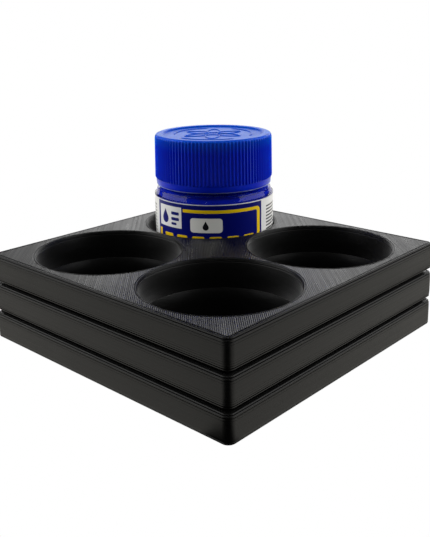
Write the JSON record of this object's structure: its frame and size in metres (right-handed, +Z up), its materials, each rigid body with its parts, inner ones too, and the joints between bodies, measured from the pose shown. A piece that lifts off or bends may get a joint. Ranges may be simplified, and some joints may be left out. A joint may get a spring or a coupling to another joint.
{
  "type": "paint jar holder stand",
  "caption": "Low square black stand of stacked printed slabs with round pockets, holding a blue capped hobby paint jar in one of them.",
  "frame": {"origin": "centre of the stand's square outline, on the table plane", "axes": "+Z up, out of the pockets; +X and +Y along the sides of the square; the jar stands in the pocket at -X, +Y"},
  "size_m": [0.0826, 0.0826, 0.0492],
  "materials": {
    "black_print": "satin",
    "clear_glass": "polished",
    "label_paper": "semi-gloss print",
    "blue_paint": "wet",
    "blue_cap": "satin moulded",
    "white_liner": "foam"
  },
  "bodies": {
    "base": {"base_tier": "black_print"},
    "middle": {"middle_tier": "black_print"},
    "top": {"top_tier": "black_print"},
    "jar": {"jar_glass": "clear_glass", "jar_label": "label_paper", "paint_fill": "blue_paint"},
    "liner": {"cap_liner": "white_liner"},
    "cap": {"cap_shell": "blue_cap"}
  },
  "joints": [
    {"name": "middle_lift", "type": "slide", "parent": "base", "child": "middle", "axis": [0, 0, 1], "range_m": [0, 0.045]},
    {"name": "top_lift", "type": "slide", "parent": "middle", "child": "top", "axis": [0, 0, 1], "range_m": [0, 0.04]},
    {"name": "jar_lift", "type": "slide", "parent": "base", "child": "jar", "axis": [0, 0, 1], "range_m": [0, 0.025]},
    {"name": "cap_lift", "type": "slide", "parent": "jar", "child": "liner", "axis": [0, 0, 1], "range_m": [0, 0.00376]},
    {"name": "cap_turn", "type": "hinge", "parent": "liner", "child": "cap", "pos_m": [-0.0188, 0.0202, 0.042], "axis": [0, 0, 1], "range_deg": [0, 450]}
  ],
  "couplings": [
    {"joint": "cap_lift", "follows": "cap_turn", "m_per_rad": 0.00047746}
  ]
}
